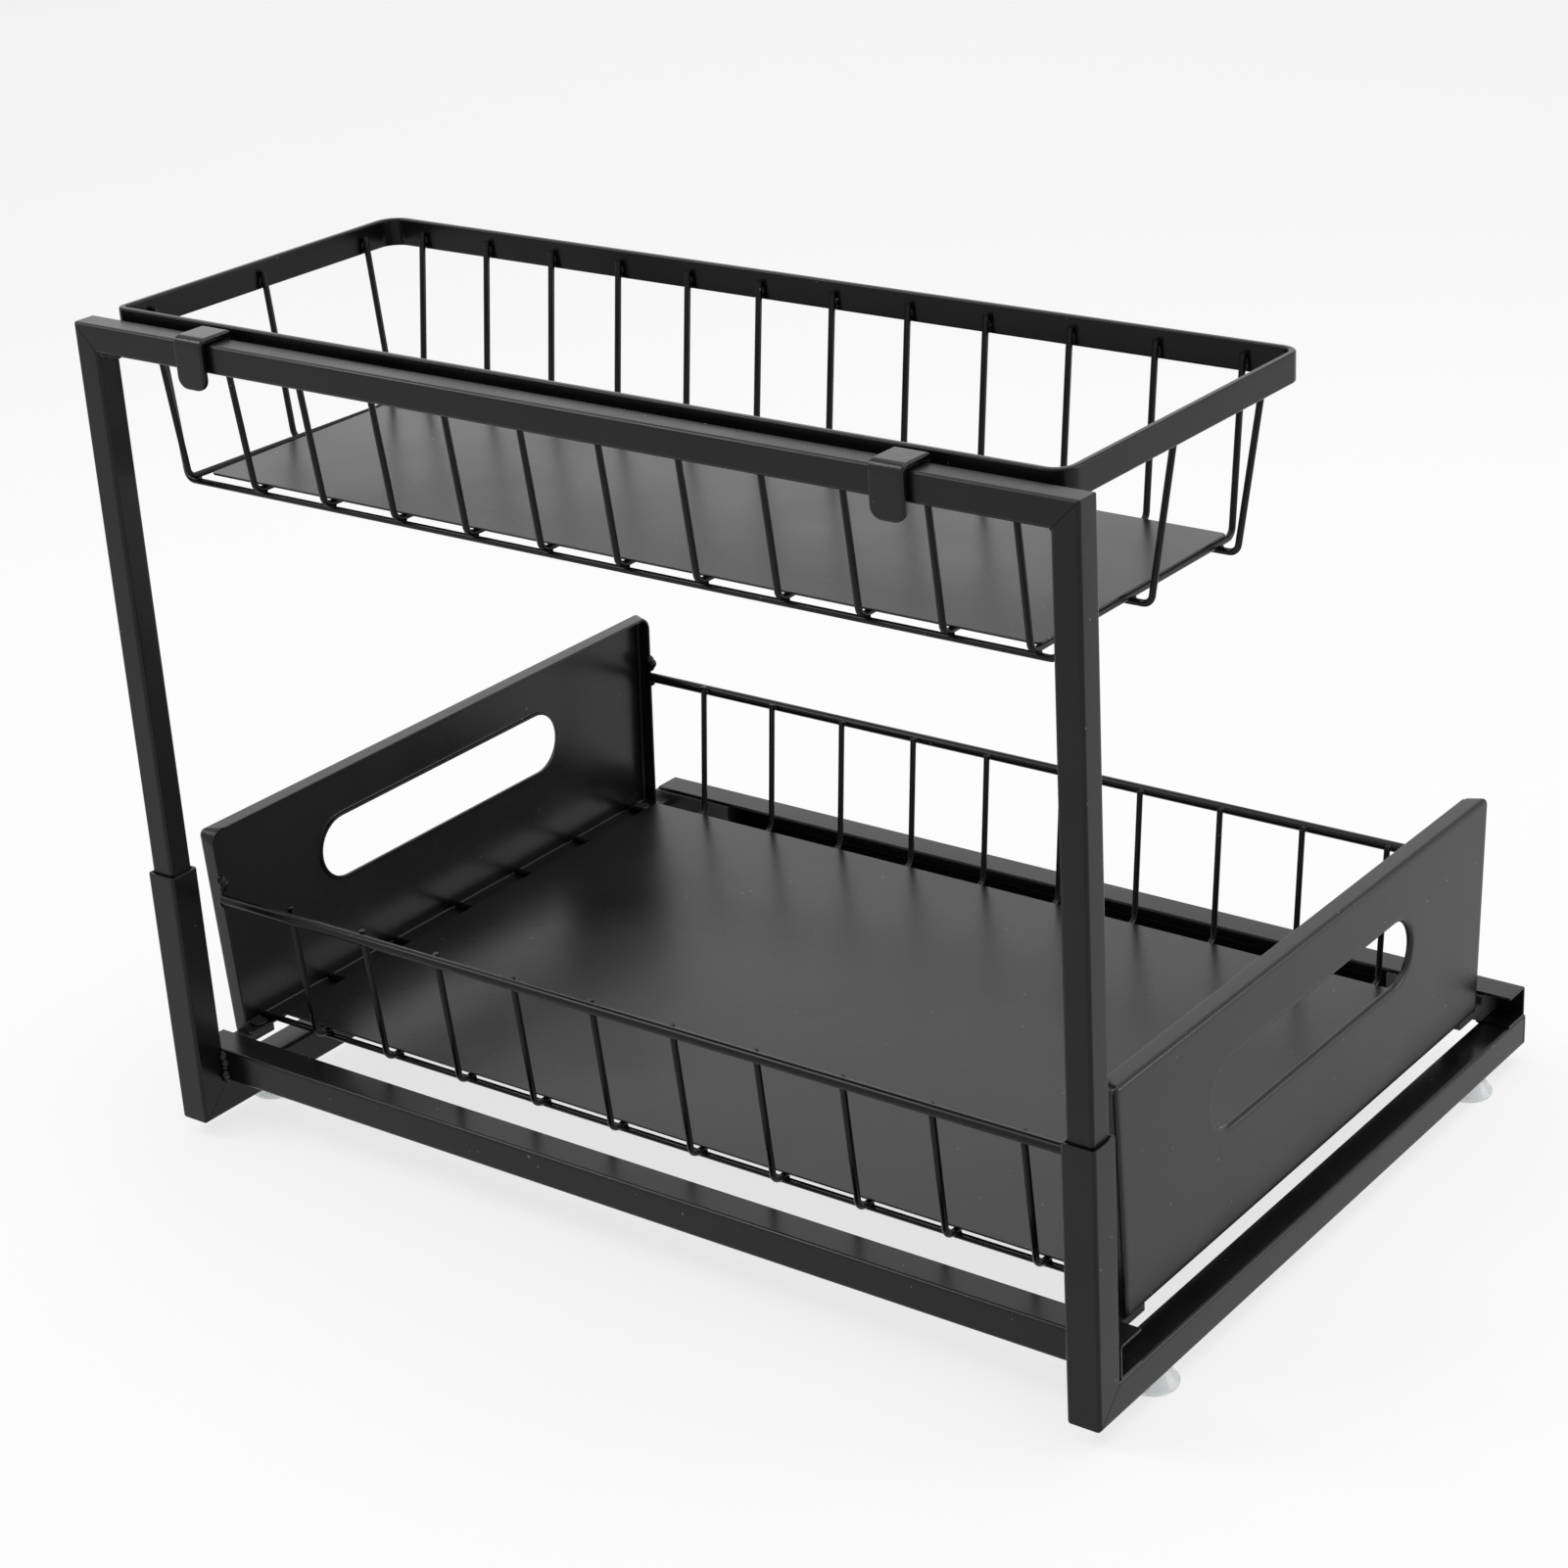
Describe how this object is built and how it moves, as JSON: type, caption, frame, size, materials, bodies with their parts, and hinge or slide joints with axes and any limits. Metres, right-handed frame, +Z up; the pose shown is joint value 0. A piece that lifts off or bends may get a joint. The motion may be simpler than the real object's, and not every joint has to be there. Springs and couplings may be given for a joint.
{
  "type": "under sink organizer",
  "caption": "Two-tier cupboard organizer: a base with a sliding wire-sided drawer between sheet end panels, and a front arch that carries a lift-off wire basket.",
  "frame": {"origin": "under the middle of the frame, on the surface that the four feet stand on", "axes": "+X along the length to the right, +Y from the arch at the front to the back, +Z up"},
  "size_m": [0.4112, 0.3057, 0.3162],
  "materials": {
    "frame_steel": "satin black powder coat on square steel tube",
    "wire_steel": "satin black powder coat on round wire and strip",
    "sheet_steel": "fine-grained satin black powder coat on sheet steel",
    "nylon": "matt black moulded nylon",
    "silicone": "clear silicone"
  },
  "bodies": {
    "frame": {"base_tube_left": "frame_steel", "base_tube_right": "frame_steel", "sleeve_left": "frame_steel", "sleeve_right": "frame_steel", "end_plug_left": "nylon", "end_plug_right": "nylon", "channel_front": "frame_steel", "channel_back": "frame_steel", "foot_front_left": "silicone", "foot_front_right": "silicone", "foot_back_left": "silicone", "foot_back_right": "silicone"},
    "arch": {"upright_left": "frame_steel", "upright_right": "frame_steel", "top_rail": "frame_steel"},
    "drawer": {"drawer_panel_left": "sheet_steel", "drawer_panel_right": "sheet_steel", "drawer_floor": "sheet_steel", "drawer_top_rod_front": "wire_steel", "drawer_top_rod_back": "wire_steel", "drawer_floor_rod_1": "wire_steel", "drawer_floor_rod_2": "wire_steel", "drawer_floor_rod_3": "wire_steel", "drawer_floor_rod_4": "wire_steel", "drawer_floor_rod_5": "wire_steel", "drawer_floor_rod_6": "wire_steel", "drawer_floor_rod_7": "wire_steel", "drawer_wire_1": "wire_steel", "drawer_wire_2": "wire_steel", "drawer_wire_3": "wire_steel", "drawer_wire_4": "wire_steel", "drawer_wire_5": "wire_steel", "drawer_wire_6": "wire_steel", "drawer_wire_7": "wire_steel", "drawer_wire_8": "wire_steel", "drawer_wire_9": "wire_steel", "drawer_wire_10": "wire_steel", "glide_front_left": "nylon", "glide_front_right": "nylon", "glide_back_left": "nylon", "glide_back_right": "nylon"},
    "basket": {"basket_rim": "wire_steel", "basket_floor": "sheet_steel", "hook_left": "wire_steel", "hook_right": "wire_steel", "basket_wire_1": "wire_steel", "basket_wire_2": "wire_steel", "basket_wire_3": "wire_steel", "basket_wire_4": "wire_steel", "basket_wire_5": "wire_steel", "basket_wire_6": "wire_steel", "basket_wire_7": "wire_steel", "basket_wire_8": "wire_steel", "basket_wire_9": "wire_steel", "basket_wire_10": "wire_steel", "basket_wire_11": "wire_steel", "basket_wire_12": "wire_steel", "basket_long_wire_1": "wire_steel", "basket_long_wire_2": "wire_steel", "basket_long_wire_3": "wire_steel"}
  },
  "joints": [
    {"name": "drawer_slide", "type": "slide", "parent": "frame", "child": "drawer", "axis": [1, 0, 0], "range_m": [-0.184, 0.196]},
    {"name": "arch_lift", "type": "slide", "parent": "frame", "child": "arch", "axis": [0, 0, 1], "range_m": [0, 0.11]},
    {"name": "basket_lift", "type": "slide", "parent": "arch", "child": "basket", "axis": [0, 0, 1], "range_m": [0, 0.06]}
  ]
}
